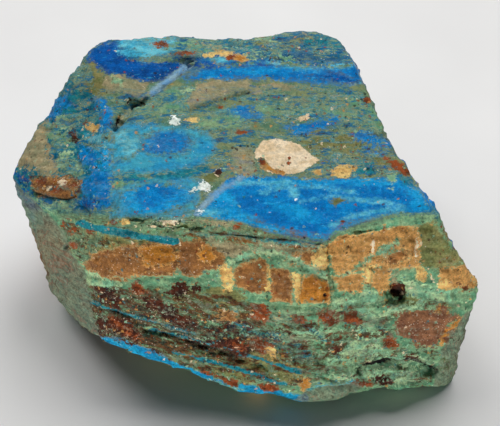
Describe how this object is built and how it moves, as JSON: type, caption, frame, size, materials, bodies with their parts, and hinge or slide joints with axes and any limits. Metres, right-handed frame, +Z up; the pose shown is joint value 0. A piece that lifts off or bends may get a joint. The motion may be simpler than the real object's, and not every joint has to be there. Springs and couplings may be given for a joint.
{
  "type": "rough blue opal specimen",
  "caption": "Rough lump of layered blue, green and honey-brown opal with a flat top, a ragged ledged front and broken ends, standing on a flat break",
  "frame": {"origin": "On the surface that the stone stands on, under the middle of its bounding box", "axes": "+Z up, +X along the stone's length, -Y towards the brown ledged front"},
  "size_m": [0.0772, 0.0568, 0.0389],
  "materials": {
    "opal": "waxy broken opal: layers of deep blue, turquoise and sea green on top, honey-brown and rust bands with mint veins in front, grey weathered ends"
  },
  "bodies": {
    "root": {"blue_opal": "opal"}
  },
  "joints": []
}
